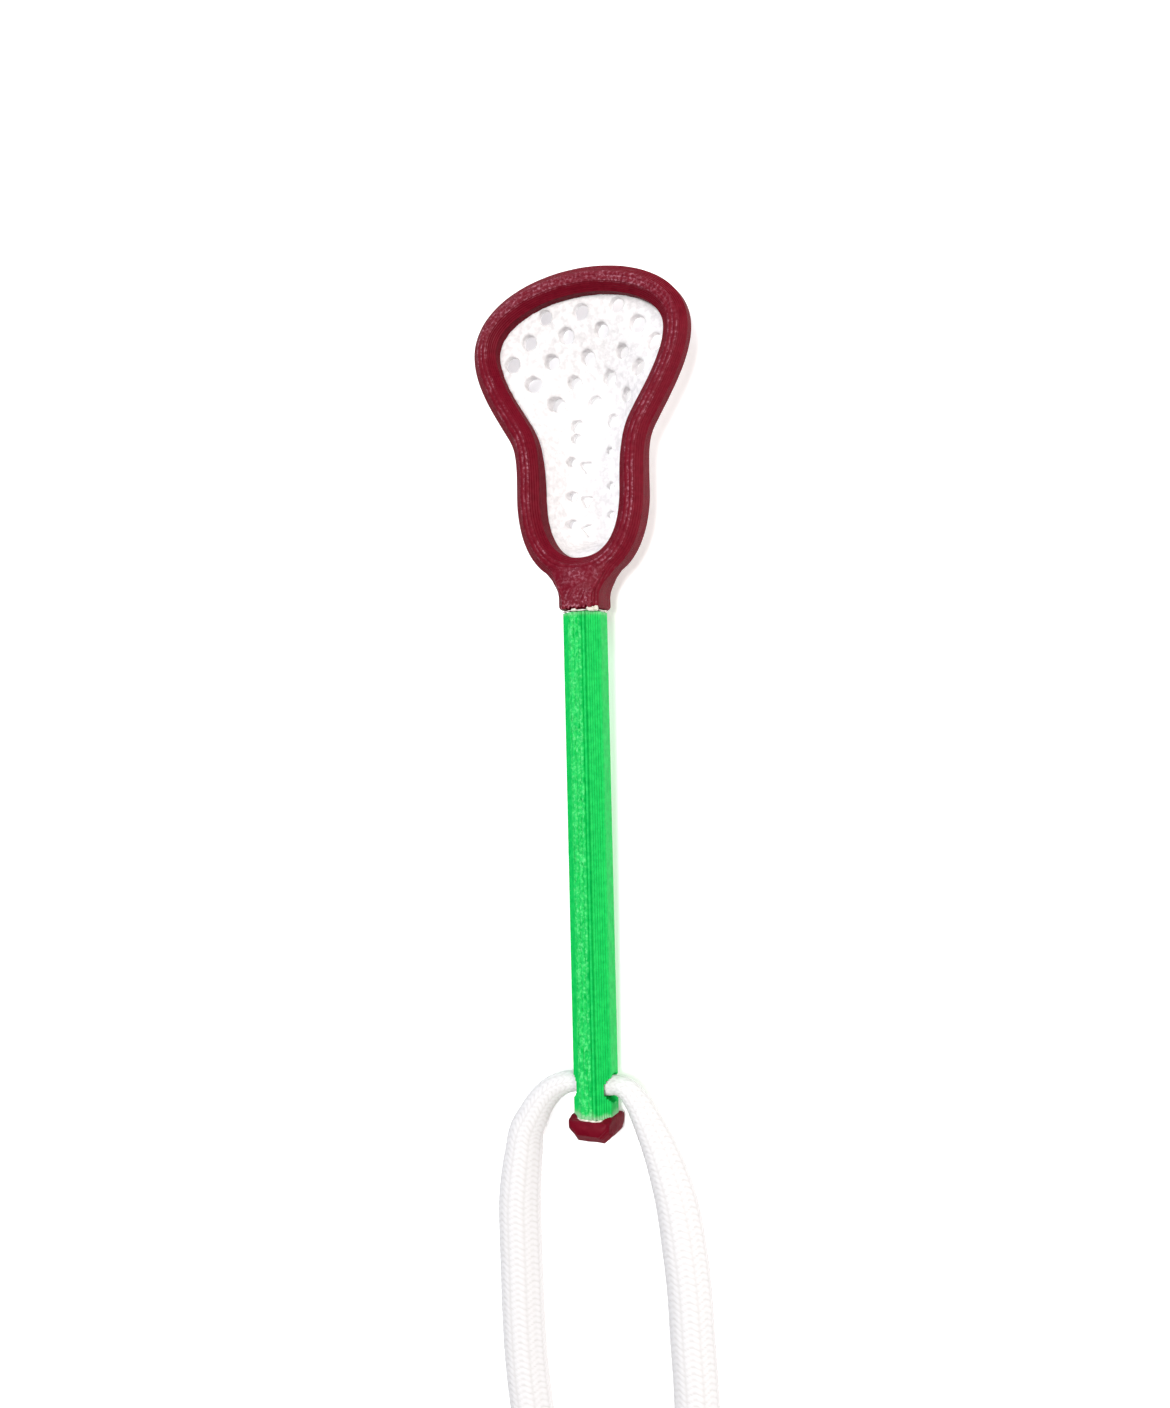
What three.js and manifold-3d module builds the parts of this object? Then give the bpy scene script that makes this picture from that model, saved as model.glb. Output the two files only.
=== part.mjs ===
// Miniature printed lacrosse stick on a cord: a head frame with its mesh pocket, an octagonal shaft,
// a butt cap, the glue that shows at the two joints, and a braided cord threaded through the shaft.
// Millimetres, +Z up. The stick lies on its back along Y, head towards +Y, open side of the head up.
import * as THREE from 'three';
import { mergeVertices } from 'three/addons/utils/BufferGeometryUtils.js';
import Module from 'manifold-3d';

const wasm = await Module();
wasm.setup();

// ---- driving dimensions, in the stick's own frame: shaft axis on Y, throat lip at y = 0 ----
const railWidth = 2.9; // head rail, seen from the front
const railHeight = 3.1; // head rail at the scoop, front to back
const railChamfer = 0.95;
const sidewallGrowth = 1.26; // the rail is this much taller low on the head
const growthFrom = 26; // y where the rail starts to grow
const growthTo = 12; // y where it is fully grown

const throatWidth = 5.0;
const throatHeight = 5.0;
const throatChamfer = 0.77;
const throatStraight = 1.5; // length of the square part above the lip
const throatFlareBend = [2.75, 2.7];
const throatFlareEnd = [4.4, 4.3]; // where the flare meets the rail
const throatOverRail = 0.6; // how far its front flat runs onto the rail

const shaftFlats = 4.65; // across flats of the octagon
const shaftLength = 56.5;
const tenonFlats = 3.0;
const upperTenonLength = 4.0;
const lowerTenonLength = 1.4;
const socketFlats = 3.4;
const socketSpare = 0.4; // socket depth past the tenon's end
const cordHoleY = -53.8;
const cordHoleRadius = 1.7;

const capWidth = 5.0;
const capHeight = 2.4;
const capCornerChamfer = 0.35;
const capEndChamfer = 0.95;

const glueThickness = 0.2;
const jointGap = 0.1; // between the glue line and each piece beside it
const glueFlats = 4.8;
const beadRadius = 0.3;

const pocketGap = 0.3; // between the mesh and the inside of the rail
const pocketThickness = 1.1;
const pocketFloor = -4.1; // front surface of the mesh at its deepest
const pocketScoopRim = -0.5;
const pocketLaneRim = -0.9;
const meshHoleRadius = 0.85;
const meshRowPitch = 2.45;
const meshColumnPitch = 4.5;
const meshRimBar = 0.25; // least width between a hole and the mesh's edge
const firstMeshRow = 34.8; // y of the row of holes nearest the scoop
const meshRows = 6;
const lanePitch = 3.6;
const laneHoleRadius = 0.7;

const cordDiameter = 5.0; // lying free
const squeezedDiameter = 2.3; // inside the cross hole
const swellLength = 20; // it fills out over this length past the hole
const bightLength = 5.2;
const bightPlace = [0, -43.55, 2.7]; // the cross hole's middle, in the part's frame
const legStart = 1.3; // from the hole's mouth to where each leg's solid starts
const knotRadii = [6.6, 5.8, 5.3];
const knotFlat = 0.4; // the knot is pressed this far into the surface that it lies on
const knotY = -153.6;

const pitchDegrees = 2.25; // the pocket lifts the head this much
const lipY = 10.21; // places the stick's box over the origin
const lipHeight = 4.838; // brings the lowest point to z = 0

// ---- colours ----
const maroon = new THREE.MeshStandardMaterial({ color: 0x6e1230, roughness: 0.5, metalness: 0 });
const green = new THREE.MeshStandardMaterial({ color: 0x19c84b, roughness: 0.45, metalness: 0 });
const whitePlastic = new THREE.MeshStandardMaterial({ color: 0xf2f1ef, roughness: 0.55, metalness: 0 });
const glue = new THREE.MeshStandardMaterial({ color: 0xd9d4c4, roughness: 0.35, metalness: 0 });
const whiteCord = new THREE.MeshStandardMaterial({ color: 0xf4f4f2, roughness: 0.9, metalness: 0 });

// ---- solids ----
function toSolid(geometry) {
  const bare = geometry.index ? geometry.toNonIndexed() : geometry.clone();
  bare.deleteAttribute('normal');
  bare.deleteAttribute('uv');
  const merged = mergeVertices(bare, 1e-5);
  const vertProperties = new Float32Array(merged.attributes.position.array);
  const triVerts = new Uint32Array(merged.index.array);
  return new wasm.Manifold(new wasm.Mesh({ numProp: 3, vertProperties, triVerts }));
}

function toGeometry(solid) {
  const mesh = solid.getMesh();
  const geometry = new THREE.BufferGeometry();
  geometry.setAttribute('position', new THREE.BufferAttribute(mesh.vertProperties, 3));
  geometry.setIndex(new THREE.BufferAttribute(mesh.triVerts, 1));
  geometry.computeVertexNormals();
  return geometry;
}

function named(name, geometry, material) {
  const mesh = new THREE.Mesh(geometry, material.clone());
  mesh.name = name;
  return mesh;
}

function smoothStep(from, to, value) {
  const t = THREE.MathUtils.clamp((value - from) / (to - from), 0, 1);
  return t * t * (3 - 2 * t);
}

// Stretches a geometry front to back by a factor that changes along the stick.
function stretchHeight(geometry, factorAt) {
  const position = geometry.attributes.position;
  for (let i = 0; i < position.count; i += 1) {
    position.setZ(i, position.getZ(i) * factorAt(position.getY(i)));
  }
  return geometry;
}

// An extrusion with chamfered front and back edges, centred on z = 0.
function chamferedPlate(shape, height, chamfer) {
  const geometry = new THREE.ExtrudeGeometry(shape, {
    depth: height - 2 * chamfer,
    bevelEnabled: true,
    bevelThickness: chamfer,
    bevelSize: chamfer,
    bevelOffset: -chamfer,
    bevelSegments: 1,
  });
  return geometry.translate(0, 0, chamfer - height / 2);
}

// An octagonal bar along Y from yLow to yHigh, one flat facing front.
function octagonBar(flats, yLow, yHigh) {
  const corner = flats / 2 / Math.cos(Math.PI / 8);
  const bar = new THREE.CylinderGeometry(corner, corner, yHigh - yLow, 8, 1);
  return bar.rotateY(Math.PI / 8).translate(0, (yLow + yHigh) / 2, 0);
}

function box(width, length, height, x, y, z) {
  return new THREE.BoxGeometry(width, length, height).translate(x, y, z);
}

// ---- head frame: one loop of rail and a throat with a socket ----
// The rail's centre line: from the throat out to the low sidewall, up past the waist,
// out to the widest point and over the scoop, then the same down the other side.
const railCurves = [
  [[4.54, 4.57], [6.46, 8.45], [6.46, 13.59]],
  [[6.46, 16.3], [6.45, 19.1], [7.52, 20.99]],
  [[9.04, 23.67], [11.98, 27.51], [11.98, 30.98]],
  [[11.98, 35.42], [5.97, 37.85], [0, 37.85]],
];
const railStart = [0, 4.57];

function railPath() {
  const path = new THREE.Path().moveTo(...railStart);
  for (const [first, second, end] of railCurves) {
    path.bezierCurveTo(...first, ...second, ...end);
  }
  const mirrored = [railStart, ...railCurves.flat()].map(([x, y]) => [-x, y]).reverse();
  for (let i = 1; i < mirrored.length; i += 3) {
    path.bezierCurveTo(...mirrored[i], ...mirrored[i + 1], ...mirrored[i + 2]);
  }
  return path;
}

const railSteps = 76;

// The rail's centre line moved outwards by a distance, as a closed list of points.
function railOffset(distance) {
  const path = railPath();
  const points = [];
  for (let i = 0; i < railSteps; i += 1) {
    const along = i / railSteps;
    const point = path.getPointAt(along);
    const tangent = path.getTangentAt(along);
    points.push(new THREE.Vector2(point.x + tangent.y * distance, point.y - tangent.x * distance));
  }
  return points;
}

function railTaller(y) {
  return 1 + (sidewallGrowth - 1) * smoothStep(growthFrom, growthTo, y);
}

function headFrame() {
  const ring = new THREE.Shape(railOffset(railWidth / 2));
  ring.holes.push(new THREE.Path(railOffset(-railWidth / 2)));
  const rail = toSolid(stretchHeight(chamferedPlate(ring, railHeight, railChamfer), railTaller));

  const half = throatWidth / 2;
  const below = -2 * throatChamfer; // cut off afterwards, so that the lip is square
  const top = throatFlareEnd[1] + throatChamfer + throatOverRail;
  const throat = new THREE.Shape().moveTo(half, below).lineTo(half, throatStraight);
  throat.quadraticCurveTo(...throatFlareBend, ...throatFlareEnd);
  throat.lineTo(throatFlareEnd[0], top).lineTo(-throatFlareEnd[0], top);
  throat.lineTo(-throatFlareEnd[0], throatFlareEnd[1]);
  throat.quadraticCurveTo(-throatFlareBend[0], throatFlareBend[1], -half, throatStraight);
  throat.lineTo(-half, below);
  const railEnd = (railHeight * sidewallGrowth) / throatHeight;
  const taper = (y) => 1 - (1 - railEnd) * smoothStep(throatStraight, throatFlareEnd[1], y);
  const block = toSolid(stretchHeight(chamferedPlate(throat, throatHeight, throatChamfer), taper));

  const underLip = toSolid(box(20, 10, 20, 0, -5, 0));
  const socketDepth = upperTenonLength + socketSpare;
  const socket = toSolid(octagonBar(socketFlats, -1, socketDepth - glueThickness - 2 * jointGap));
  return toGeometry(rail.add(block).subtract(underLip).subtract(socket));
}

// ---- mesh pocket: a perforated printed shell that hangs inside the rail ----
function pocketDepth(y) {
  const fromScoop = smoothStep(35.5, 25.5, y);
  const fromThroat = smoothStep(6.2, 8.8, y);
  return Math.min(fromScoop, fromThroat);
}

function pocketRim(y) {
  return THREE.MathUtils.lerp(pocketLaneRim, pocketScoopRim, smoothStep(18, 28, y));
}

// Height of the front surface at a share across the width, from -1 to 1: a soft bowl near the scoop,
// a trough with steep sides in the lane.
function pocketSurface(y, across, boxier) {
  const steep = THREE.MathUtils.lerp(3, 1, smoothStep(19, 28, y)) * boxier;
  const bowl = 0.5 + 0.5 * Math.cos(Math.PI * Math.abs(across) ** steep);
  const rim = pocketRim(y);
  return rim + (pocketFloor - rim) * pocketDepth(y) ** (1 / boxier) * bowl;
}

function pocketShell() {
  const columns = 14;
  const outline = railOffset(-railWidth / 2 - pocketGap);
  const rows = outline.slice(1, railSteps / 2).filter((point) => point.x > 0.2);
  const vertices = [];
  for (const side of [0, 1]) {
    for (const { x, y } of rows) {
      for (let column = 0; column <= columns; column += 1) {
        const across = (2 * column) / columns - 1;
        const eased = Math.sin((across * Math.PI) / 2) * 0.6 + across * 0.4;
        const height = pocketSurface(y, eased, side ? 1.5 : 1) - side * pocketThickness;
        vertices.push(x * eased, y, height);
      }
    }
  }
  const width = columns + 1;
  const sheet = rows.length * width;
  const faces = [];
  const quad = (a, b, c, d) => faces.push(a, b, c, a, c, d);
  for (let row = 0; row + 1 < rows.length; row += 1) {
    const front = row * width;
    const back = sheet + front;
    for (let column = 0; column < columns; column += 1) {
      const f = front + column;
      const b = back + column;
      quad(f, f + 1, f + 1 + width, f + width);
      quad(b, b + width, b + width + 1, b + 1);
    }
    quad(front, front + width, back + width, back);
    quad(front + columns, back + columns, back + columns + width, front + columns + width);
  }
  const last = (rows.length - 1) * width;
  for (let column = 0; column < columns; column += 1) {
    quad(column, sheet + column, sheet + column + 1, column + 1);
    quad(last + column, last + column + 1, sheet + last + column + 1, sheet + last + column);
  }
  const geometry = new THREE.BufferGeometry();
  geometry.setAttribute('position', new THREE.Float32BufferAttribute(vertices, 3));
  geometry.setIndex(faces);
  return geometry;
}

// Half the opening's width at a height y, from the rail's inside.
function openingHalfWidth(y) {
  const inside = railOffset(-railWidth / 2).slice(0, railSteps / 2 + 1);
  const above = inside.findIndex((point) => point.y >= y);
  if (above < 1) {
    return 0;
  }
  const [low, high] = [inside[above - 1], inside[above]];
  return THREE.MathUtils.mapLinear(y, low.y, high.y, low.x, high.x);
}

function meshHoles() {
  const holes = [];
  for (let row = 0; row < meshRows; row += 1) {
    const y = firstMeshRow - row * meshRowPitch;
    const start = row % 2 ? meshColumnPitch / 2 : 0;
    const room = openingHalfWidth(y) - pocketGap - meshHoleRadius - meshRimBar;
    for (let x = start; x < room; x += meshColumnPitch) {
      holes.push([x, y, meshHoleRadius]);
      if (x > 0) {
        holes.push([-x, y, meshHoleRadius]);
      }
    }
  }
  for (const side of [-1, 1]) {
    for (let i = 0; i < 4; i += 1) {
      holes.push([side * 1.1, 9.8 + i * lanePitch, laneHoleRadius]);
    }
    for (let i = 0; i < 3; i += 1) {
      holes.push([side * 3.0, 11.5 + i * lanePitch, laneHoleRadius]);
    }
  }
  return holes;
}

function meshPocket() {
  let pocket = toSolid(pocketShell());
  for (const [x, y, radius] of meshHoles()) {
    const drill = new THREE.CylinderGeometry(radius, radius, 20, 8).rotateX(Math.PI / 2);
    pocket = pocket.subtract(toSolid(drill.translate(x, y, 0)));
  }
  return toGeometry(pocket);
}

// ---- shaft and butt cap ----
const shaftTop = -glueThickness - 2 * jointGap;
const shaftBottom = shaftTop - shaftLength;
const capTop = shaftBottom - glueThickness - 2 * jointGap;

function shaft() {
  const body = toSolid(octagonBar(shaftFlats, shaftBottom, shaftTop));
  const tenons = toSolid(
    octagonBar(tenonFlats, shaftBottom - lowerTenonLength, shaftTop + upperTenonLength),
  );
  const hole = new THREE.CylinderGeometry(cordHoleRadius, cordHoleRadius, 10, 16);
  const drill = toSolid(hole.rotateZ(Math.PI / 2).translate(0, cordHoleY, 0));
  return toGeometry(body.add(tenons).subtract(drill));
}

// A square with its corners cut off.
function cutSquare(width, corner) {
  const edge = width / 2;
  const near = edge - corner;
  const shape = new THREE.Shape().moveTo(near, -edge).lineTo(edge, -near).lineTo(edge, near);
  shape.lineTo(near, edge).lineTo(-near, edge).lineTo(-edge, near).lineTo(-edge, -near);
  return shape.lineTo(-near, -edge);
}

// The cap is a block with cut corners, inside a longer block whose far end is chamfered.
function buttCap() {
  const longer = 2 * capHeight;
  const corners = new THREE.ExtrudeGeometry(cutSquare(capWidth, capCornerChamfer), {
    depth: capHeight,
    bevelEnabled: false,
  });
  const plainSquare = new THREE.Shape().moveTo(-capWidth / 2, -capWidth / 2);
  plainSquare.lineTo(capWidth / 2, -capWidth / 2).lineTo(capWidth / 2, capWidth / 2);
  plainSquare.lineTo(-capWidth / 2, capWidth / 2);
  const tapered = chamferedPlate(plainSquare, 2 * longer, capEndChamfer);
  corners.rotateX(Math.PI / 2).translate(0, capTop, 0);
  tapered.rotateX(Math.PI / 2).translate(0, capTop - capHeight + longer, 0);
  const socketDepth = lowerTenonLength + socketSpare - glueThickness - 2 * jointGap;
  const socket = octagonBar(socketFlats, capTop - socketDepth, capTop + 1);
  return toGeometry(toSolid(corners).intersect(toSolid(tapered)).subtract(toSolid(socket)));
}

// ---- glue lines, with a squeezed-out bead under the throat's front corner ----
function glueLine(yHigh) {
  const line = toSolid(octagonBar(glueFlats, yHigh - glueThickness, yHigh));
  return line.subtract(toSolid(octagonBar(socketFlats, yHigh - 1, yHigh + 1)));
}

function throatGlue() {
  const bead = new THREE.SphereGeometry(beadRadius, 8, 6).scale(1.9, 0.65, 1);
  bead.rotateY(Math.PI / 4).translate(1.86, -0.25, 1.86);
  const line = glueLine(-jointGap);
  const shaftClearance = toSolid(octagonBar(shaftFlats + 2 * jointGap, -2, shaftTop + jointGap));
  return toGeometry(line.add(toSolid(bead).subtract(shaftClearance)));
}

// ---- the cord: a bight through the cross hole, two legs, and the knot that joins their ends ----
const half = cordDiameter / 2;
const rightLegRoute = [
  [3.7, -43.65, 2.7], [4.75, -44.65, 2.65], [5.7, -46.1, 2.6], [6.65, -47.9, 2.55],
  [7.6, -49.9, half], [8.5, -52.2, half], [9.3, -54.7, half], [9.85, -57.2, half],
  [10.25, -59.8, half], [10.6, -62.4, half], [10.85, -65.0, half], [11.0, -67.6, half],
  [11.15, -70.2, half], [11.35, -73.0, half], [11.5, -75.9, half], [11.6, -80.4, half],
  [11.5, -86.4, half], [11.1, -93.4, half], [10.3, -101.4, half], [9.0, -110.4, half],
  [7.2, -119.4, half], [5.2, -128.4, half], [3.5, -136.4, half], [2.8, -142.4, half],
  [2.75, -147.4, half],
];
const leftLegRoute = [
  [-3.3, -43.5, 2.7], [-4.7, -44.0, 2.65], [-6.0, -44.95, 2.6], [-7.15, -46.3, 2.55],
  [-8.1, -47.9, half], [-8.9, -49.5, half], [-9.3, -52.0, half], [-9.65, -54.9, half],
  [-9.85, -57.8, half], [-9.8, -60.6, half], [-9.7, -63.4, half], [-9.6, -66.2, half],
  [-9.5, -69.0, half], [-9.35, -71.8, half], [-9.15, -74.5, half], [-8.85, -77.3, half],
  [-8.45, -80.0, half], [-8.0, -84.4, half], [-7.6, -90.4, half], [-7.0, -98.4, half],
  [-6.2, -107.4, half], [-5.2, -116.4, half], [-4.2, -125.4, half], [-3.3, -134.4, half],
  [-2.8, -141.4, half], [-2.75, -147.4, half],
];

// Half the cord's width at a distance along it from the hole's mouth.
function cordRadius(distance) {
  const share = Math.min(distance / swellLength, 1);
  return (squeezedDiameter + (cordDiameter - squeezedDiameter) * Math.sin((share * Math.PI) / 2)) / 2;
}

function cordSection() {
  const section = new THREE.Shape();
  const sides = 8;
  for (let i = 0; i < sides; i += 1) {
    const angle = ((i + 0.5) / sides) * 2 * Math.PI;
    const [x, y] = [half * Math.cos(angle), half * Math.sin(angle)];
    if (i === 0) {
      section.moveTo(x, y);
    } else {
      section.lineTo(x, y);
    }
  }
  return section;
}

// A leg of the cord: an even tube, then each ring is drawn in to the cord's width there.
function cordLeg(route) {
  const path = new THREE.CatmullRomCurve3(route.map((point) => new THREE.Vector3(...point)));
  const steps = Math.ceil(path.getLength() / (0.8 * cordDiameter));
  const options = { steps, extrudePath: path, bevelEnabled: false };
  const tube = new THREE.ExtrudeGeometry(cordSection(), options);
  const centres = path.getSpacedPoints(steps);
  const stepLength = path.getLength() / steps;
  const corners = tube.attributes.position;
  const corner = new THREE.Vector3();
  for (let i = 0; i < corners.count; i += 1) {
    corner.fromBufferAttribute(corners, i);
    const misses = centres.map((centre) => Math.abs(centre.distanceTo(corner) - half));
    const ring = misses.indexOf(Math.min(...misses));
    corner.sub(centres[ring]).multiplyScalar(cordRadius(legStart + ring * stepLength) / half);
    corner.add(centres[ring]);
    corners.setXYZ(i, corner.x, corner.y, corner.z);
  }
  return tube;
}

function cordBight() {
  const radius = squeezedDiameter / 2;
  const bight = new THREE.CylinderGeometry(radius, radius, bightLength, 8);
  return bight.rotateZ(Math.PI / 2).translate(...bightPlace);
}

function cordKnot() {
  const ball = new THREE.SphereGeometry(1, 16, 10).scale(...knotRadii);
  ball.translate(0, knotY, knotRadii[2] - knotFlat);
  return toGeometry(toSolid(ball).subtract(toSolid(box(30, 30, 10, 0, knotY, -5))));
}

// ---- assembly ----
const stick = new THREE.Group();
stick.add(named('head_frame', headFrame(), maroon));
stick.add(named('mesh_pocket', meshPocket(), whitePlastic));
stick.add(named('shaft', shaft(), green));
stick.add(named('butt_cap', buttCap(), maroon));
stick.add(named('throat_glue', throatGlue(), glue));
stick.add(named('cap_glue', toGeometry(glueLine(capTop + glueThickness + jointGap)), glue));
stick.rotation.x = THREE.MathUtils.degToRad(pitchDegrees);
stick.position.set(0, lipY, lipHeight);

const part = new THREE.Group();
part.add(stick);
part.add(named('cord_bight', cordBight(), whiteCord));
part.add(named('cord_right_leg', cordLeg(rightLegRoute), whiteCord));
part.add(named('cord_left_leg', cordLeg(leftLegRoute), whiteCord));
part.add(named('cord_knot', cordKnot(), whiteCord));

export default part;
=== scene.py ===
import math
import random

import bmesh
import bpy
from mathutils import Matrix, Vector, geometry, noise


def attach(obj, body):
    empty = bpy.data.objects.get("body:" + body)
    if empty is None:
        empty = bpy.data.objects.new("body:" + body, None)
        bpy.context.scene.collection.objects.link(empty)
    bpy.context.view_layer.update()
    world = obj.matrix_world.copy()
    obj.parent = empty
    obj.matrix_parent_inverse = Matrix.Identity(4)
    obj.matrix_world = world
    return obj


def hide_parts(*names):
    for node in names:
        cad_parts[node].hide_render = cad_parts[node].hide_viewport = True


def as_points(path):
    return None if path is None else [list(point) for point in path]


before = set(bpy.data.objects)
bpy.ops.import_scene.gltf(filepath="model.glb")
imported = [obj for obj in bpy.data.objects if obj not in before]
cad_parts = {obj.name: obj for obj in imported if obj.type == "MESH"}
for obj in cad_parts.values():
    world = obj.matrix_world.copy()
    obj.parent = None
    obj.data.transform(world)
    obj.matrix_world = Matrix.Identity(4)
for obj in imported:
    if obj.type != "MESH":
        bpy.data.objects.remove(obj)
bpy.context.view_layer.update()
random.seed(7)

# Lengths in the settings are millimetres. The stick's own frame has the shaft's axis on Y,
# the throat's lip at y = 0 and the open side of the head at +Z.
millimetre = 0.001
lie = {"pitch": math.radians(2.25), "lipY": 10.21, "lipHeight": 4.838}
partPlace = Matrix.Scale(millimetre, 4)
stickPlace = (
    partPlace
    @ Matrix.Translation((0, lie["lipY"], lie["lipHeight"]))
    @ Matrix.Rotation(lie["pitch"], 4, "X")
)


look = {
    "roll": 24.26,  # degrees round the shaft, towards the stick's right side
    "tilt": 1.44,
    "turn": -1.32,
    "shift": (-0.005, -10.645),  # across and along the picture
    "distance": 134.01,
    "lens": 29.97,
}


def makeCamera():
    data = bpy.data.cameras.new("camera")
    data.lens = look["lens"]
    data.sensor_width = 36
    data.clip_start = 0.001
    camera = bpy.data.objects.new("camera", data)
    bpy.context.scene.collection.objects.link(camera)
    aim = Matrix.Rotation(math.radians(look["roll"]), 4, "Y")
    aim = aim @ Matrix.Rotation(math.radians(look["tilt"]), 4, "X")
    aim = aim @ Matrix.Rotation(math.radians(look["turn"]), 4, "Z")
    spot = stickPlace @ (aim @ Vector((*look["shift"], look["distance"])))
    pitch = Matrix.Rotation(lie["pitch"], 4, "X")
    camera.matrix_world = Matrix.Translation(spot) @ pitch @ aim
    bpy.context.scene.camera = camera


makeCamera()
print("camera placed")


def addPiece(name, bm, place=stickPlace, sharp=None):
    mesh = bpy.data.meshes.new(name)
    bm.to_mesh(mesh)
    bm.free()
    return addMesh(name, mesh, place, sharp)


def addMesh(name, mesh, place=stickPlace, sharp=None):
    mesh.transform(place)
    mesh.shade_smooth()
    if sharp:
        mesh.set_sharp_from_angle(angle=math.radians(sharp))
    piece = bpy.data.objects.new(name, mesh)
    bpy.context.scene.collection.objects.link(piece)
    return piece


# A value for each vertex, from its place in the stick's own frame.
def paintPoints(piece, name, valueAt):
    layer = piece.data.attributes.new(name, "FLOAT", "POINT")
    back = stickPlace.inverted()
    for vert in piece.data.vertices:
        layer.data[vert.index].value = valueAt(back @ vert.co, vert.normal)


def dress(piece, material, slotName, *nodes):
    piece.data.materials.clear()
    piece.data.materials.append(material)
    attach(piece, "root")
    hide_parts(*nodes)


def gridSheet(bm, columns, rows, placeAt):
    made = bmesh.ops.create_grid(bm, x_segments=columns, y_segments=rows, size=0.5)
    for vert in made["verts"]:
        column = round((vert.co.x + 0.5) * columns)
        row = round((vert.co.y + 0.5) * rows)
        vert.co = placeAt(column, row)


def weld(bm, distance=1e-5):
    bmesh.ops.remove_doubles(bm, verts=bm.verts, dist=distance)


def fillLoops(bm, isHere):
    edges = [e for e in bm.edges if e.is_boundary and all(isHere(v.co) for v in e.verts)]
    bmesh.ops.triangle_fill(bm, edges=edges, use_beauty=True)


def joinMeshes(bm, *meshes):
    for mesh in meshes:
        bm.from_mesh(mesh)
        bpy.data.meshes.remove(mesh)


# bm minus the cutter, by an exact boolean.
def cutWith(bm, cutter):
    body = bpy.data.meshes.new("body")
    bm.to_mesh(body)
    tool = bpy.data.meshes.new("cutter")
    cutter.to_mesh(tool)
    cutter.free()
    bodyPiece = bpy.data.objects.new("body", body)
    toolPiece = bpy.data.objects.new("cutter", tool)
    for piece in (bodyPiece, toolPiece):
        bpy.context.scene.collection.objects.link(piece)
    cut = bodyPiece.modifiers.new("cut", "BOOLEAN")
    cut.operation = "DIFFERENCE"
    cut.solver = "EXACT"
    cut.object = toolPiece
    result = appliedMesh(bodyPiece)
    for piece in (bodyPiece, toolPiece):
        bpy.data.objects.remove(piece)
    bm.clear()
    joinMeshes(bm, result)


socketRadius = 1.84  # to the corners of the octagon


# An octagonal socket along the shaft's axis, as deep to each side of y.
def cutSocket(bm, y, depth):
    socket = bmesh.new()
    turn = Matrix.Translation((0, y, 0)) @ Matrix.Rotation(math.pi / 2, 4, "X")
    bmesh.ops.create_cone(
        socket, cap_ends=True, segments=8, radius1=socketRadius, radius2=socketRadius,
        depth=2 * depth, matrix=turn @ Matrix.Rotation(math.pi / 8, 4, "Z"),
    )
    cutWith(bm, socket)


def appliedMesh(piece):
    bpy.context.view_layer.update()
    depsgraph = bpy.context.evaluated_depsgraph_get()
    return bpy.data.meshes.new_from_object(piece.evaluated_get(depsgraph), depsgraph=depsgraph)


# A tube along points, as a mesh, ring after ring.
def tubeMesh(points, radius, closed=False, roundness=4, radii=None):
    data = bpy.data.curves.new("tube", "CURVE")
    data.dimensions = "3D"
    data.bevel_depth = radius
    data.bevel_resolution = roundness
    data.use_fill_caps = not closed
    spline = data.splines.new("POLY")
    spline.points.add(len(points) - 1)
    for i, (dot, point) in enumerate(zip(spline.points, points)):
        dot.co = (*point, 1)
        dot.radius = radii[i] if radii else 1
    spline.use_cyclic_u = closed
    piece = bpy.data.objects.new("tube", data)
    bpy.context.scene.collection.objects.link(piece)
    mesh = appliedMesh(piece)
    bpy.data.objects.remove(piece)
    return mesh


def smoothStep(low, high, value):
    share = min(max((value - low) / (high - low), 0), 1)
    return share * share * (3 - 2 * share)


def blendValues(start, end, share):
    return start + (end - start) * share


def wobble(x, y, z, size, amount):
    return amount * noise.noise(Vector((x, y, z)) / size)


cordSize = {
    "diameter": 5.0,  # lying free
    "squeezed": 2.3,  # inside the cross hole
    "swell": 20,  # it fills out over this length past the hole
    "mouth": 2.35,  # from the hole's middle to its mouth
    "ringSpacing": 0.14,
    "sides": 56,
    "wales": 16,  # columns of stitches round it
    "stitch": 0.66,  # length of one stitch
    "lean": 0.85,  # of a stitch, in stitches
    "relief": 0.13,
    "fuzz": 0.05,
}
half = cordSize["diameter"] / 2
rightLegRoute = [
    (0.15, -43.55, 2.7), (1.4, -43.45, 2.7), (2.5, -43.3, 2.7),
    (3.7, -43.65, 2.7), (4.75, -44.65, 2.65), (5.7, -46.1, 2.6), (6.65, -47.9, 2.55),
    (7.6, -49.9, half), (8.5, -52.2, half), (9.3, -54.7, half), (9.85, -57.2, half),
    (10.25, -59.8, half), (10.6, -62.4, half), (10.85, -65.0, half), (11.0, -67.6, half),
    (11.15, -70.2, half), (11.35, -73.0, half), (11.5, -75.9, half), (11.6, -80.4, half),
    (11.5, -86.4, half), (11.1, -93.4, half), (10.3, -101.4, half), (9.0, -110.4, half),
    (7.2, -119.4, half), (5.2, -128.4, half), (3.5, -136.4, half), (2.8, -142.4, half),
    (2.7, -147.4, 2.65), (2.5, -149.4, 3.0),
]
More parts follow.
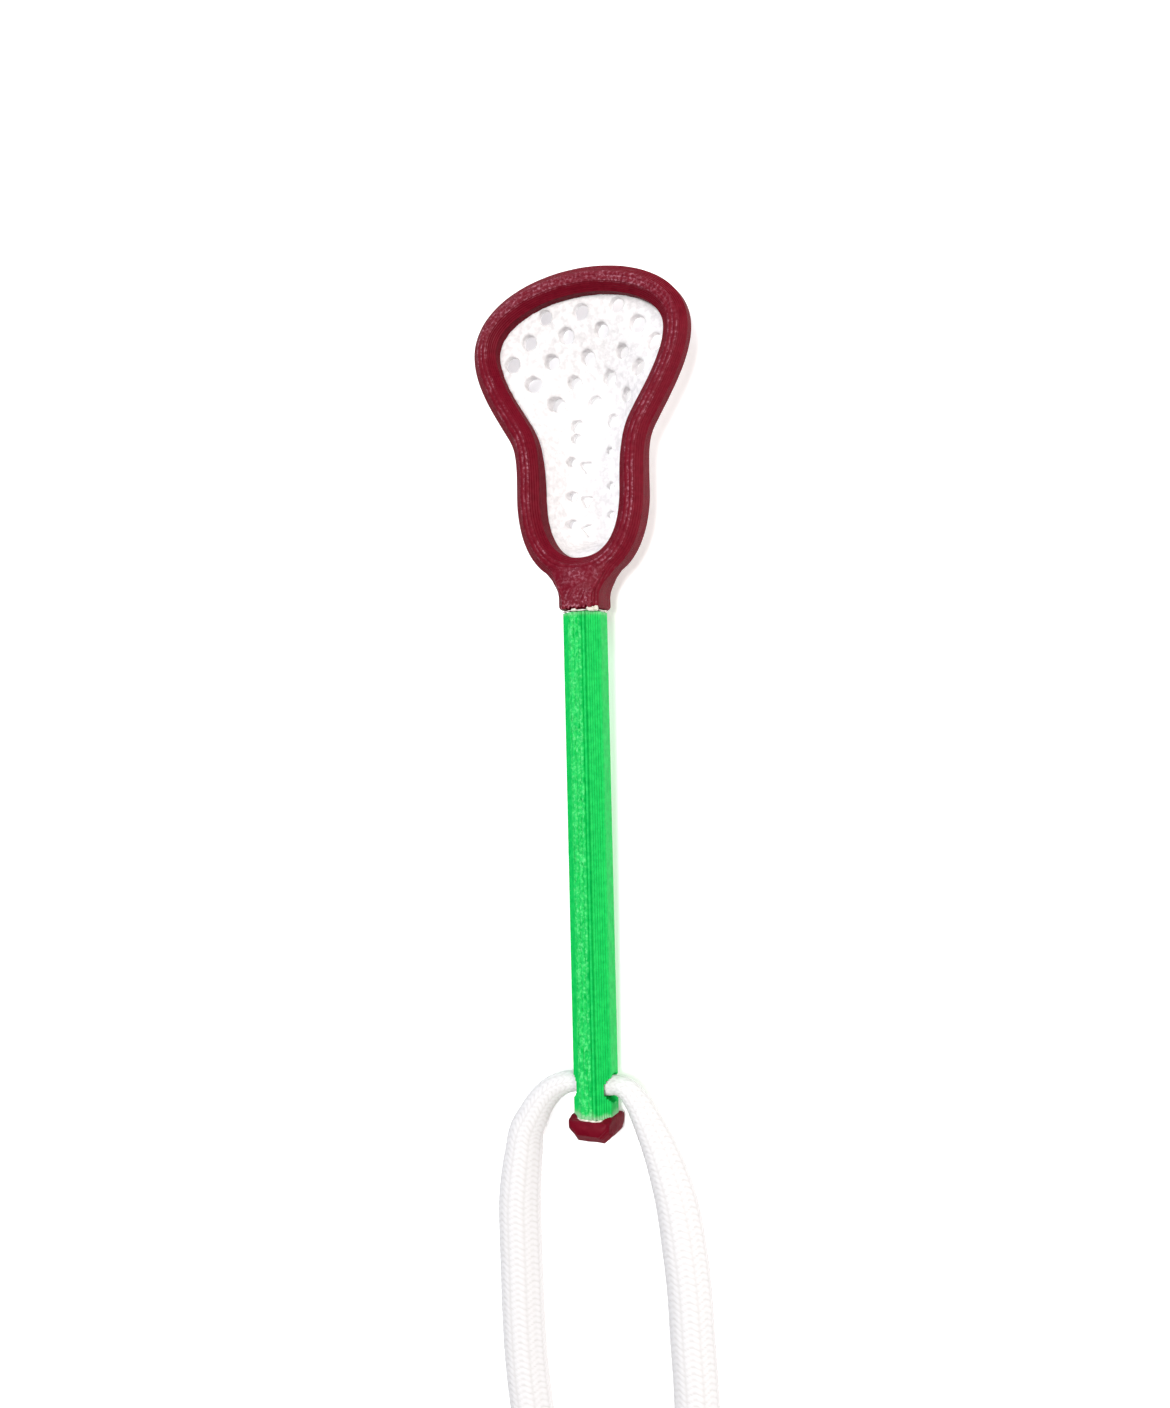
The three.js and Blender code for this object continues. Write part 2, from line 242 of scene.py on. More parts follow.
leftLegRoute = [
    (-0.15, -43.55, 2.7), (-1.3, -43.5, 2.7), (-2.3, -43.4, 2.7),
    (-3.3, -43.5, 2.7), (-4.7, -44.0, 2.65), (-6.0, -44.95, 2.6), (-7.15, -46.3, 2.55),
    (-8.1, -47.9, half), (-8.9, -49.5, half), (-9.3, -52.0, half), (-9.65, -54.9, half),
    (-9.85, -57.8, half), (-9.8, -60.6, half), (-9.7, -63.4, half), (-9.6, -66.2, half),
    (-9.5, -69.0, half), (-9.35, -71.8, half), (-9.15, -74.5, half), (-8.85, -77.3, half),
    (-8.45, -80.0, half), (-8.0, -84.4, half), (-7.6, -90.4, half), (-7.0, -98.4, half),
    (-6.2, -107.4, half), (-5.2, -116.4, half), (-4.2, -125.4, half), (-3.3, -134.4, half),
    (-2.8, -141.4, half), (-2.7, -147.4, 2.65), (-2.5, -149.4, 3.0),
]


# Half the cord's width at a distance along it from the hole's mouth.
def cordRadius(distance):
    share = min(max(distance / cordSize["swell"], 0), 1)
    slim = cordSize["squeezed"] / 2
    return slim + (half - slim) * math.sin(share * math.pi / 2)


# A smooth line through the points, with a point every spacing.
def evenRoute(points, spacing):
    data = bpy.data.curves.new("route", "CURVE")
    data.dimensions = "3D"
    data.resolution_u = 24
    spline = data.splines.new("BEZIER")
    spline.bezier_points.add(len(points) - 1)
    for dot, point in zip(spline.bezier_points, points):
        dot.co = point
        dot.handle_left_type = dot.handle_right_type = "AUTO"
    piece = bpy.data.objects.new("route", data)
    bpy.context.scene.collection.objects.link(piece)
    mesh = appliedMesh(piece)
    line = [v.co.copy() for v in mesh.vertices]
    bpy.data.objects.remove(piece)
    return evenPoints(line, spacing)


def evenPoints(line, spacing):
    total = sum((b - a).length for a, b in zip(line, line[1:]))
    count = max(2, round(total / spacing))
    step, made, along, ahead = total / count, [line[0]], 0.0, total / count
    for a, b in zip(line, line[1:]):
        length = (b - a).length
        while length > 0 and along + length >= ahead - 1e-9 and len(made) < count:
            made.append(a.lerp(b, (ahead - along) / length))
            ahead += step
        along += length
    made.append(line[-1])
    return made


# Height of the knitted surface: columns of V stitches, 1 on top and 0 in the gaps.
def stitchRelief(around, along):
    column = cordSize["wales"] * around
    number = math.floor(column)
    across = column - number
    lean = across if number % 2 == 0 else 1 - across
    ahead = (along / cordSize["stitch"] + cordSize["lean"] * lean) % 1
    rib = 0.6 + 0.4 * math.sin(math.pi * across) ** 0.6
    yarn = math.sin(math.pi * ahead) ** 0.6
    return rib * (0.3 + 0.7 * yarn)


# A cord along a path, with its stitches raised and their height kept as an attribute, from which the
# material paints shade into the gaps between stitches.
def knittedTube(path, radii, closed=False):
    bm = bmesh.new()
    joinMeshes(bm, tubeMesh(path, half, closed, (cordSize["sides"] - 4) // 2, [r / half for r in radii]))
    mesh = bpy.data.meshes.new("tube")
    bm.to_mesh(mesh)
    bm.free()
    sides = len(mesh.vertices) // len(path)
    spacing = (path[1] - path[0]).length
    shade = mesh.attributes.new("stitch", "FLOAT", "POINT")
    for vert in mesh.vertices:
        ring, side = divmod(vert.index, sides)
        height = stitchRelief(side / sides, ring * spacing)
        fuzz = 0.5 + 0.5 * noise.noise(vert.co * 3)
        shade.data[vert.index].value = 0.85 * height + 0.15 * fuzz
        centre = path[min(ring, len(path) - 1)]
        dip = cordSize["relief"] * (1 - height) + cordSize["fuzz"] * fuzz
        vert.co += (centre - vert.co).normalized() * dip
    return mesh


def knittedCord(name, route):
    line = evenRoute(route, cordSize["ringSpacing"])
    radii = [cordRadius(i * cordSize["ringSpacing"] - cordSize["mouth"]) for i in range(len(line))]
    return addMesh(name, knittedTube(line, radii), partPlace), line


print("cords routed")
rightCord, rightLine = knittedCord("cord_right", rightLegRoute)
leftCord, leftLine = knittedCord("cord_left", leftLegRoute)
for line in (rightLine, leftLine):
    print("cord length, mm:", round(sum((b - a).length for a, b in zip(line, line[1:])), 1))


head = {
    "railWidth": 2.9,
    "railHeight": 3.1,
    "chamfer": 0.95,
    "growth": (26, 12, 1.26),  # the rail grows taller between these heights up the head
    "layers": 18,
    "groove": 0.035,  # between printed layers
    "beadPitch": 0.5,
    "beadRadius": 0.3,
    "throatHalf": 2.5,
    "lipRound": 0.5,
    "throatStraight": 1.5,
    "throatFlare": ((2.6, 2.5), (3.3, 3.3), (4.3, 4.45)),  # out to the rail
    "throatChamfer": 0.77,
    "throatGrowth": (4.3, 1.5, 5.0 / 3.1),
    "fillSlant": math.radians(64),  # of the printed lines on the throat
    "fillPitch": 0.42,
    "socketDepth": 4,
}
railCurves = [
    ((0, 4.57), (4.54, 4.57), (6.46, 8.45), (6.46, 13.59)),
    ((6.46, 13.59), (6.46, 16.3), (6.45, 19.1), (7.52, 20.99)),
    ((7.52, 20.99), (9.04, 23.67), (11.98, 27.51), (11.98, 30.98)),
    ((11.98, 30.98), (11.98, 35.42), (5.97, 37.85), (0, 37.85)),
]


# The right half of the rail's centre line, from the throat to the scoop, as even points.
def railHalf(count):
    line = []
    for a, b, c, d in railCurves:
        part = geometry.interpolate_bezier(Vector(a), Vector(b), Vector(c), Vector(d), 80)
        line += [Vector((p.x, p.y, 0)) for p in part[(1 if line else 0):]]
    total = sum((b - a).length for a, b in zip(line, line[1:]))
    return evenPoints(line, total / count)


def outwards(line, i):
    before, after = line[max(i - 1, 0)], line[min(i + 1, len(line) - 1)]
    along = (after - before).normalized()
    if i in (0, len(line) - 1):
        along = Vector((1 if i == 0 else -1, 0, 0))
    return Vector((along.y, -along.x, 0))


# Right-hand points and directions, then the same ones on the left, in a closed order.
def mirrored(points):
    left = [(Vector((-p.x, p.y, 0)), Vector((-n.x, n.y, 0))) for p, n in reversed(points)]
    ends = [i for i in (0, -1) if abs(points[i][0].x) < 1e-6]
    if 0 in ends:
        left = left[:-1]
    if -1 in ends:
        left = left[1:]
    return points + left


def railSide(offset, count=170):
    line = railHalf(count)
    side = [(line[i] + outwards(line, i) * offset, outwards(line, i)) for i in range(len(line))]
    return side


# Right-hand outline of the throat, from the middle of the lip to the rail.
def throatSide():
    width = head["throatHalf"]
    flat = Vector((0, 0, 0))
    lipRound = head["lipRound"]
    side = []
    for i in range(6):
        side.append((Vector(((width - lipRound) * i / 6, 0, 0)), Vector((0, -0.6, 0)) if i else flat))
    for i in range(7):
        angle = math.pi / 2 * i / 6
        way = Vector((math.sin(angle), -math.cos(angle), 0))
        side.append((Vector((width - lipRound, lipRound, 0)) + way * lipRound, way))
    straight = head["throatStraight"]
    for i in range(1, 5):
        side.append((Vector((width, blendValues(lipRound, straight, i / 5), 0)), Vector((1, 0, 0))))
    flare = [Vector(spot) for spot in ((width, straight), *head["throatFlare"])]
    bend = geometry.interpolate_bezier(*flare, 18)
    for i, point in enumerate(bend):
        before, after = bend[max(i - 1, 0)], bend[min(i + 1, len(bend) - 1)]
        along = (after - before).normalized()
        side.append((Vector((point.x, point.y, 0)), Vector((along.y, -along.x, 0))))
    return side


def headOutline():
    rail = [(p, n) for p, n in railSide(head["railWidth"] / 2) if p.y > 4.75 and n.y < 0 or p.y > 8]
    return mirrored(throatSide() + rail)


def headHalfHeight(y):
    start, end, factor = head["growth"]
    grown = blendValues(1, factor, smoothStep(start, end, y))
    start, end, most = head["throatGrowth"]
    grown = blendValues(grown, most, smoothStep(start, end, y))
    return head["railHeight"] / 2 * grown


def headChamfer(y):
    return blendValues(head["chamfer"], head["throatChamfer"], smoothStep(5, 2, y))


# Heights from -1 to 1, three to a layer, each with how deep it lies in the groove: 0 or 1.
def layerRows(layers):
    rows = [(-1, 1.0)]
    for k in range(layers):
        middle = -1 + (2 * k + 1) / layers
        rows += [(middle - 0.62 / layers, 0.25), (middle, 0.0), (middle + 0.62 / layers, 0.25)]
        rows.append((middle + 1 / layers, 1.0))
    return rows


# One printed wall: rounded layers that step in along the chamfers.
def layeredWall(bm, outline, inwards):
    rows = layerRows(head["layers"])
    layers = head["layers"]

    def placeAt(column, row):
        point, direction = outline[column % len(outline)]
        share, groove = rows[row]
        tall, chamfer = headHalfHeight(point.y), headChamfer(point.y)
        layer = min(int((share + 1) / 2 * layers - 1e-6), layers - 1)
        middle = abs(-1 + (2 * layer + 1) / layers) * tall
        level = blendValues(middle, abs(share) * tall, 0.45)
        inset = max(0, level - (tall - chamfer)) + head["groove"] * groove
        inset += wobble(point.x, point.y, layer * 3.1, 1.7, 0.012)
        return point - direction * inset * inwards + Vector((0, 0, share * tall))

    gridSheet(bm, len(outline), len(rows) - 1, placeAt)


# A printed line that lies on the front face.
def frontBead(points, closed, radius, rise=0.07):
    radii = [1 + wobble(p.x, p.y, 5, 0.8, 0.08) for p in points]
    lifted = []
    for p in points:
        bump = wobble(p.x, p.y, 0, 0.6, 0.03) + max(0, wobble(p.x, p.y, 9, 0.35, 0.12) - 0.03)
        lifted.append((p.x, p.y, headHalfHeight(p.y) - radius + rise + bump))
    return tubeMesh(lifted, radius, closed, roundness=4, radii=radii)


# Diagonal printed lines on the throat's front face.
def throatFill():
    slant = head["fillSlant"]
    along = Vector((math.cos(slant), math.sin(slant), 0))
    across = Vector((-math.sin(slant), math.cos(slant), 0))
    lines = []
    for i in range(-9, 10):
        row = []
        for j in range(-40, 41):
            point = Vector((0, 2.4, 0)) + across * i * head["fillPitch"] + along * j * 0.1
            width = throatFlat(point.y) - 0.35
            if 0.15 < point.y < 4.3 + 0.06 * point.x**2 and abs(point.x) < width:
                row.append(point)
        if len(row) > 3:
            lines.append(row)
    return lines


# Half the width of the throat's flat front.
def throatFlat(y):
    width = head["throatHalf"] + 1.85 * smoothStep(1.0, 5.4, y)
    return width - headChamfer(y)


def makeHead():
    bm = bmesh.new()
    layeredWall(bm, headOutline(), 1)
    layeredWall(bm, mirrored(railSide(-head["railWidth"] / 2)), -1)
    weld(bm)
    fillLoops(bm, lambda co: co.z > 0)
    fillLoops(bm, lambda co: co.z < 0)
    bmesh.ops.recalc_face_normals(bm, faces=bm.faces)
    cutSocket(bm, 0, head["socketDepth"])
    beads = []
    for offset in (-0.5, 0.5):
        side = mirrored(railSide(offset * head["beadPitch"]))
        beads.append(frontBead([p for p, _ in side], True, head["beadRadius"]))
    for row in throatFill():
        beads.append(frontBead(row, False, head["beadRadius"] * 0.8, 0.05))
    for side in (-1, 1):
        edge = [Vector((side * (throatFlat(y / 10) - 0.16), y / 10, 0)) for y in range(1, 44)]
        beads.append(frontBead(edge, False, head["beadRadius"], 0.1))
    joinMeshes(bm, *beads)
    piece = addPiece("head_frame_print", bm, sharp=50)
    paintPoints(piece, "frostAndHighlight", headFrostAndHighlight)
    return piece


# Pale scuffs and painted highlights gather beside the printed lines on the front and along those on the
# throat.
def headFrostAndHighlight(spot, normal):
    depth = headHalfHeight(spot.y) - spot.z
    groove = smoothStep(-0.06, 0.02, depth) * (1 - smoothStep(0.1, 0.2, depth))
    patch = smoothStep(-0.2, 0.35, wobble(spot.x * 2, spot.y, 4, 1.6, 1))
    scoop = 0.3 * smoothStep(30, 36, spot.y) * (1 - smoothStep(0.0, 0.12, depth))
    flat = 0.45 * (1 - smoothStep(3.5, 5.5, spot.y)) * smoothStep(0.5, 0.9, normal.z)
    line = smoothStep(0.2, 0.9, math.sin((spot.x * 0.55 + spot.y) * 2 * math.pi / 0.45))
    flat *= 0.25 + 0.75 * line * patch
    return min(1, groove * (0.15 + 0.85 * patch) + scoop + flat)


bar = {
    "flats": 4.65,
    "top": -0.3,
    "bottom": -57.0,
    "layer": 0.2,
    "groove": 0.015,
    "beads": 4,  # printed lines across the front
    "beadGroove": 0.11,
    "edgeGroove": 0.26,  # beside the front's right-hand line
    "edgeRise": 0.03,  # the two outer lines stand this much higher
    "step": 0.2,
    "tenonFlats": 3.0,
    "tenonTop": 3.6,
    "tenonBottom": -58.3,
    "holeY": -53.8,
    "holeRadius": 1.65,
}


leftNumber, frontNumber = 40, 100  # the printed lines are numbered on from these on the two sides


# Outline of the shaft across its length: (x, z, which printed line it belongs to).
def shaftSection():
    edge = bar["flats"] / 2
    corner = edge * math.tan(math.pi / 8)
    count = round(bar["flats"] / bar["layer"])
    side = []
    for k in range(count):
        low = -edge + k * bar["flats"] / count
        middle = low + bar["flats"] / count / 2
        width = edge - max(0, abs(middle) - corner)
        for share, groove in ((0.06, 1), (0.3, 0.2), (0.5, 0), (0.7, 0.2), (0.94, 1)):
            side.append((width - bar["groove"] * groove, low + share * bar["flats"] / count, k))
    front = []
    pitch = 2 * (corner + 0.05) / bar["beads"]
    for b in range(bar["beads"]):
        start = corner + 0.05 - b * pitch
        proud = bar["edgeRise"] if b in (0, bar["beads"] - 1) else 0
        dip = bar["edgeGroove"] if b == 0 else bar["beadGroove"]
        for share, rise in ((0.05, -dip), (0.28, 0.01), (0.5, 0.03), (0.72, 0.01), (0.95, -dip)):
            front.append((start - share * pitch, edge + rise + proud, frontNumber + b))
    left = [(-x, z, leftNumber + k) for x, z, k in reversed(side)]
    return side + front + left


def makeShaft():
    section = shaftSection()
    length = bar["top"] - bar["bottom"]
    steps = round(length / bar["step"])
    roughness = {0: 0.15, bar["beads"] - 1: 0.6}  # the front's outer lines are smoother
    bm = bmesh.new()

    def placeAt(column, row):
        x, z, line = section[column % len(section)]
        y = bar["top"] - length * row / steps
        slide = wobble(line * 7.3, y, 0, 1.4, 0.02)
        if line >= frontNumber:
            rough = roughness.get(line - frontNumber, 1)
            speck = max(0, wobble(x * 2, y, 3, 0.4, 0.3) - 0.02) * rough
            return Vector((x + slide, y, z + wobble(line * 3.7, y, 1, 0.7, 0.08) * rough + speck))
        return Vector((x + math.copysign(slide, x), y, z))

    gridSheet(bm, len(section), steps, placeAt)
    weld(bm)
    fillLoops(bm, lambda co: co.y > -1)
    fillLoops(bm, lambda co: co.y < -50)
    bmesh.ops.recalc_face_normals(bm, faces=bm.faces)
    cutWith(bm, steppedHole())
    corner = bar["tenonFlats"] / 2 / math.cos(math.pi / 8)
    for low, high in ((bar["tenonBottom"], bar["bottom"] + 1), (bar["top"] - 1, bar["tenonTop"])):
        turn = Matrix.Translation((0, (low + high) / 2, 0)) @ Matrix.Rotation(math.pi / 2, 4, "X")
        bmesh.ops.create_cone(
            bm, cap_ends=True, segments=8, radius1=corner, radius2=corner, depth=high - low,
            matrix=turn @ Matrix.Rotation(math.pi / 8, 4, "Z"),
        )
    piece = addPiece("shaft_print", bm, sharp=45)
    paintPoints(piece, "frostAndHighlight", shaftFrostAndHighlight)
    paintPoints(piece, "haze", shaftHaze)
    return piece


# The left and middle printed lines of the front are scuffed and painted with highlights in patches, the
# right one is not.
def shaftFrostAndHighlight(spot, normal):
    inside = 1 - smoothStep(0.35, 0.55, spot.x)
    patch = smoothStep(-0.35, 0.3, wobble(spot.x * 3, spot.y, 2, 0.8, 1))
    return (0.15 + 0.85 * inside * (0.35 + 0.65 * patch)) * smoothStep(2.0, 2.25, spot.z)


# Glue bloom creeps up from the cap.
def shaftHaze(spot, normal):
    ragged = wobble(spot.x, spot.z, 7, 0.8, 0.7)
    foot = 1 - smoothStep(-56.9, -56.1 + ragged, spot.y)
    return 0.65 * foot + 0.3 * smoothStep(-0.8, -0.35, spot.y)


# The cross hole, stepped a printed layer at a time.
def steppedHole():
    radius, layer = bar["holeRadius"], bar["layer"]
    count = int(radius / layer)
    right = []
    for k in range(-count, count):
        wide = math.sqrt(max(radius**2 - ((k + 0.5) * layer) ** 2, 0.04))
        right += [(wide, k * layer + 0.02), (wide, (k + 1) * layer - 0.02)]
    outline = right + [(-y, z) for y, z in reversed(right)]
    bm = bmesh.new()
    ring = [bm.verts.new((-6, bar["holeY"] + y, z)) for y, z in outline]
    face = bm.faces.new(ring)
    made = bmesh.ops.extrude_face_region(bm, geom=[face])["geom"]
    moved = [v for v in made if isinstance(v, bmesh.types.BMVert)]
    bmesh.ops.translate(bm, verts=moved, vec=(12, 0, 0))
    bmesh.ops.recalc_face_normals(bm, faces=bm.faces)
    return bm


cap = {
    "width": 5.0,
    "top": -57.2,
    "end": -59.7,
    "rim": 0.35,  # the sides reach up round the shaft
    "corner": 0.35,
    "endChamfer": 0.95,
    "layer": 0.2,
    "groove": 0.03,
    "socketDepth": 1.3,
}


# The cap's outline at a height z, from the top right round its end to the top left.
def capOutline(z):
    edge = cap["width"] / 2
    wide = edge - max(0, abs(z) - (edge - cap["corner"]))
    end = cap["end"] + max(0, abs(z) - (edge - cap["endChamfer"]))
    cut = cap["endChamfer"]
    low = min(end + cut, cap["top"] - 0.3)
    top = cap["top"] + cap["rim"] * (1 - smoothStep(1.2, 2.3, abs(z)))
    shape = [(wide - 0.12, top), (wide, top - 0.12), (wide, low), (wide - cut, end)]
    points = []
    for (x0, y0), (x1, y1) in zip(shape, shape[1:]):
        for i in range(6):
            points.append((blendValues(x0, x1, i / 6), blendValues(y0, y1, i / 6)))
    points += [(blendValues(wide - cut, -(wide - cut), i / 8), end) for i in range(8)]
    for (x0, y0), (x1, y1) in zip(shape[::-1], shape[-2::-1]):
        for i in range(6):
            points.append((-blendValues(x0, x1, i / 6), blendValues(y0, y1, i / 6)))
    points.append((-(wide - 0.12), top))
    return points


def makeCap():
    layers = round(cap["width"] / cap["layer"])
    rows = layerRows(layers)
    edge = cap["width"] / 2
    centreY = (cap["top"] + cap["end"]) / 2
    count = len(capOutline(0))
    bm = bmesh.new()

    def placeAt(column, row):
        share, groove = rows[row]
        layer = min(int((share + 1) / 2 * layers - 1e-6), layers - 1)
        level = blendValues((-1 + (2 * layer + 1) / layers) * edge, share * edge, 0.5)
        x, y = capOutline(level)[column % count]
        inwards = Vector((-x, centreY - y, 0)).normalized()
        depth = cap["groove"] * groove + wobble(x, y, share * edge, 0.9, 0.07)
        return Vector((x, y, share * edge)) + inwards * depth

    gridSheet(bm, count, len(rows) - 1, placeAt)
    weld(bm)
    fillLoops(bm, lambda co: co.z > 0)
    fillLoops(bm, lambda co: co.z < 0)
    bmesh.ops.recalc_face_normals(bm, faces=bm.faces)
    cutSocket(bm, cap["top"], cap["socketDepth"])
    return addPiece("butt_cap_print", bm, sharp=50)


pocket = {
    "gap": -0.05,  # the mesh is bonded to the inside of the rail
    "thickness": 1.0,
    "floor": -4.1,
    "scoopRim": -0.5,
    "laneRim": -0.9,
    "holeRadius": 0.92,
    "rimBar": 0.2,  # least width between a hole and the rail
    "columnPitch": 4.5,
    "rowPitch": 2.45,
    "firstRow": 34.8,
    "rows": 6,
    "cutouts": ((10.1, 1.2), (13.5, 0.9), (17.6, 1.05)),  # y and turn of each one in the lane
    "cutoutX": -1.35,
    "cutoutRadius": 1.118,
    "ovalX": -3.05,
    "ovalRadius": 0.645,
    "smallX": 1.7,
    "smallRadius": 0.473,
    "topOval": (-2.5, 21.0, 0.688),  # x, y and radius
    "voxel": 0.14,
}


def pocketDepth(y):
    return min(smoothStep(35.5, 25.5, y), smoothStep(6.2, 8.8, y))


# The mesh's front: a soft bowl near the scoop and a trough with steep sides in the lane.
def pocketSurface(y, across, boxier):
    steep = blendValues(3, 1, smoothStep(19, 28, y)) * boxier
    bowl = 0.5 + 0.5 * math.cos(math.pi * abs(across) ** steep)
    rim = blendValues(pocket["laneRim"], pocket["scoopRim"], smoothStep(18, 28, y))
    return rim + (pocket["floor"] - rim) * pocketDepth(y) ** (1 / boxier) * bowl


# Round holes in staggered rows, then three cut-outs, the ovals beside them and small holes in the lane.
def pocketHoles():
    cutter = bmesh.new()
    inside = railSide(-head["railWidth"] / 2)

    def drill(x, y, radius, sides, turn):
        place = Matrix.Translation((x, y, -3)) @ Matrix.Rotation(turn, 4, "Z")
        bmesh.ops.create_cone(
            cutter, cap_ends=True, segments=sides, radius1=radius * 0.82, radius2=radius * 1.12,
            depth=8, matrix=place,
        )

    for row in range(pocket["rows"]):
        y = pocket["firstRow"] - row * pocket["rowPitch"]
        edge = min(p.x for p, _ in inside if abs(p.y - y) < 0.4)
        room = edge - pocket["holeRadius"] - pocket["rimBar"]
        x = 0 if row % 2 == 0 else pocket["columnPitch"] / 2
        while x < room:
            for side in ((1, -1) if x else (1,)):
                away = Vector((random.uniform(-0.12, 0.12), random.uniform(-0.12, 0.12)))
                radius = pocket["holeRadius"] * random.uniform(0.9, 1.06)
                drill(side * x + away.x, y + away.y, radius, 12, random.uniform(0, 1))
            x += pocket["columnPitch"]
    for y, turn in pocket["cutouts"]:
        drill(pocket["cutoutX"], y, pocket["cutoutRadius"], 3, turn)
        drill(pocket["ovalX"], y + 0.7, pocket["ovalRadius"], 8, 0)
        drill(pocket["smallX"], y + 1.5, pocket["smallRadius"], 8, 0)
    drill(*pocket["topOval"], 8, 0)
    return cutter


def makePocket():
    line = [p for p, _ in railSide(-head["railWidth"] / 2 - pocket["gap"]) if p.x > 0.25]
    columns = 40
    bm = bmesh.new()
    for boxier, below in ((1, 0), (1.5, pocket["thickness"])):

        def placeAt(column, row):
            edge = line[row]
            across = 2 * column / columns - 1
            across = 0.6 * math.sin(across * math.pi / 2) + 0.4 * across
            height = pocketSurface(edge.y, across, boxier) - below
            return Vector((edge.x * across, edge.y, height))

        gridSheet(bm, columns, len(line) - 1, placeAt)
    rim = [e for e in bm.edges if e.is_boundary]
    bmesh.ops.bridge_loops(bm, edges=rim)
    bmesh.ops.recalc_face_normals(bm, faces=bm.faces)
    cutWith(bm, pocketHoles())
    mesh = bpy.data.meshes.new("pocket")
    bm.to_mesh(mesh)
    bm.free()
    piece = bpy.data.objects.new("pocket", mesh)
    bpy.context.scene.collection.objects.link(piece)
    remesh = piece.modifiers.new("remesh", "REMESH")
    remesh.mode = "VOXEL"
    remesh.voxel_size = pocket["voxel"]
    relax = piece.modifiers.new("relax", "SMOOTH")
    relax.iterations = 3
    relax.factor = 0.5
    result = appliedMesh(piece)
    bpy.data.objects.remove(piece)
    bm = bmesh.new()
    joinMeshes(bm, result)
    bm.normal_update()
    for vert in bm.verts:
        x, y, z = vert.co
        lump = wobble(x, y, z, 0.75, 0.06) + wobble(x * 5, y * 0.7, z * 5, 1.4, 0.04)
        vert.co += vert.normal * lump
    return addPiece("mesh_pocket_print", bm)


glue = {
    "throatY": -0.12,
    "throatInset": 0.06,  # of the bead's middle from the shaft's faces
    "throatBead": 0.07,
    "capY": -57.12,
    "capInset": 0.03,
    "capBead": 0.11,
    "blobs": (  # place, size, turn and seed of each lump squeezed out at the throat
        ((1.78, -0.05, 2.18), (0.62, 0.26, 0.24), math.pi / 4, 1),
        ((2.2, 0.02, 1.86), (0.3, 0.3, 0.2), math.pi / 4, 2),
        ((-0.3, -0.08, 2.42), (0.34, 0.16, 0.12), 0, 3),
    ),
}


def glueBlob(bm, spot, size, turn, seed):
    made = bmesh.ops.create_icosphere(bm, subdivisions=3, radius=1)
    shape = Matrix.Translation(spot) @ Matrix.Rotation(turn, 4, "Y") @ Matrix.Diagonal((*size, 1))
    for vert in made["verts"]:
        vert.co *= 1 + wobble(*vert.co, 0.8, 0.35) + wobble(*(vert.co + Vector((seed, 0, 0))), 0.5, 0.2)
    bmesh.ops.transform(bm, matrix=shape, verts=made["verts"])


# A thin uneven line of glue round the shaft.
def glueRing(bm, y, edge, corner, radius):
    shape = [(edge, -corner), (edge, corner), (corner, edge), (-corner, edge)]
    shape += [(-x, -z) for x, z in shape]
    points = []
    for (x0, z0), (x1, z1) in zip(shape, shape[1:] + shape[:1]):
        steps = max(2, round(math.hypot(x1 - x0, z1 - z0) / 0.15))
        for i in range(steps):
            share = i / steps
            points.append((blendValues(x0, x1, share), y, blendValues(z0, z1, share)))
    radii = [1 + wobble(*p, 0.5, 0.9) for p in points]
    joinMeshes(bm, tubeMesh(points, radius, True, 3, radii))


def makeThroatGlue():
    bm = bmesh.new()
    edge = bar["flats"] / 2
    corner = edge * math.tan(math.pi / 8)
    glueRing(bm, glue["throatY"], edge - glue["throatInset"], corner, glue["throatBead"])
    for blob in glue["blobs"]:
        glueBlob(bm, *blob)
    return addPiece("throat_glue_bead", bm)


def makeCapGlue():
    bm = bmesh.new()
    edge = bar["flats"] / 2
    corner = edge * math.tan(math.pi / 8)
    glueRing(bm, glue["capY"], edge - glue["capInset"], corner, glue["capBead"])
    return addPiece("cap_glue_line", bm)


knot = {
    "spot": (0, -151.6, 5.9),
    "lobes": (1.32, 2.1, 1.05),  # across, along and up, for each unit of the knot's curve
    "strand": 1.95,  # the cord is squeezed where it is drawn tight
    "points": 300,
    "endStart": (2.2, -1.5, -1.6),  # of a cut end, from the knot's middle
    "endStep": (0.28, -1.1, -0.25),
    "endPoints": 8,
    "endDroops": ((-1, 0.0), (1, 0.35)),  # side and extra droop
}


# A tight overhand knot, with the cord's two cut ends behind it.
def makeKnot():
    spot = Vector(knot["spot"])
    wide, long, tall = knot["lobes"]
    line = []
    for i in range(knot["points"]):
        t = 2 * math.pi * i / knot["points"]
        x = math.sin(t) + 2 * math.sin(2 * t)
        z = math.cos(t) - 2 * math.cos(2 * t)
        line.append(spot + Vector((x * wide, -math.sin(3 * t) * long, z * tall)))
    parts = [(line, True)]
    startX, startY, startZ = knot["endStart"]
    stepX, stepY, stepZ = knot["endStep"]
    for side, droop in knot["endDroops"]:
        start = spot + Vector((side * startX, startY, startZ))
        step = Vector((side * stepX, stepY, stepZ * (1 + droop)))
        end = [start + step * k for k in range(knot["endPoints"])]
        parts.append((evenRoute(end, cordSize["ringSpacing"]), False))
    bm = bmesh.new()
    for path, closed in parts:
        joinMeshes(bm, knittedTube(path, [knot["strand"]] * len(path), closed))
    return addPiece("cord_knot_tied", bm, partPlace)


def newMaterial(name):
    material = bpy.data.materials.new(name)
    material.use_nodes = True
    nodes = material.node_tree.nodes
    return material, material.node_tree, nodes["Principled BSDF"]


def addNode(tree, kind, **values):
    node = tree.nodes.new(kind)
    for key, value in values.items():
        if key in node.inputs:
            node.inputs[key].default_value = value
        else:
            setattr(node, key, value)
    return node


def mathNode(tree, operation, first, second, clamp=False):
    node = addNode(tree, "ShaderNodeMath", operation=operation, use_clamp=clamp)
    for socket, value in zip(node.inputs, (first, second)):
        if isinstance(value, (int, float)):
            socket.default_value = value
        else:
            tree.links.new(value, socket)
    return node.outputs[0]


